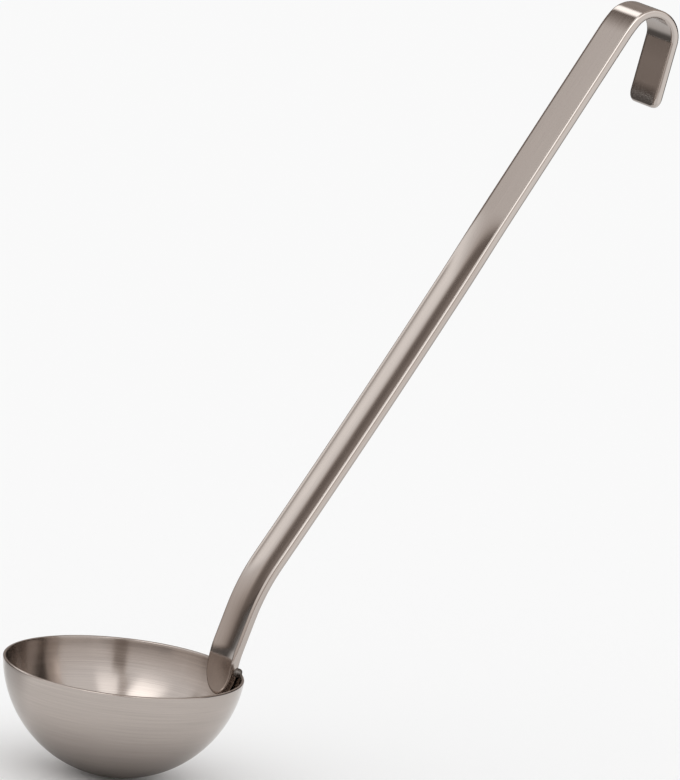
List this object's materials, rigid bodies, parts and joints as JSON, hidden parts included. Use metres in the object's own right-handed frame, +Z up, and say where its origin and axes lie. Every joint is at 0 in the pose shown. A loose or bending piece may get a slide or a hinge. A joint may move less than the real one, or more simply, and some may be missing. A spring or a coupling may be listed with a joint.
{
  "type": "soup ladle",
  "caption": "Stainless steel soup ladle: a deep round bowl welded under a long bent strip handle, dished below and flat above, that ends in a hanging hook.",
  "frame": {"origin": "on the hook's axis, at the middle of the strip's width, where a rail passes through the hook", "axes": "+Z up with the bowl's rim level, +X from the bowl towards the hook, +Y along the hook's axis"},
  "size_m": [0.2694, 0.0998, 0.33],
  "materials": {
    "bowl_steel": "satin, brushed round the bowl",
    "handle_steel": "satin, brushed along the handle",
    "weld_steel": "ground weld"
  },
  "bodies": {
    "root": {"bowl": "bowl_steel", "handle": "handle_steel", "spot_welds": "weld_steel", "rim_welds": "weld_steel"}
  },
  "joints": []
}
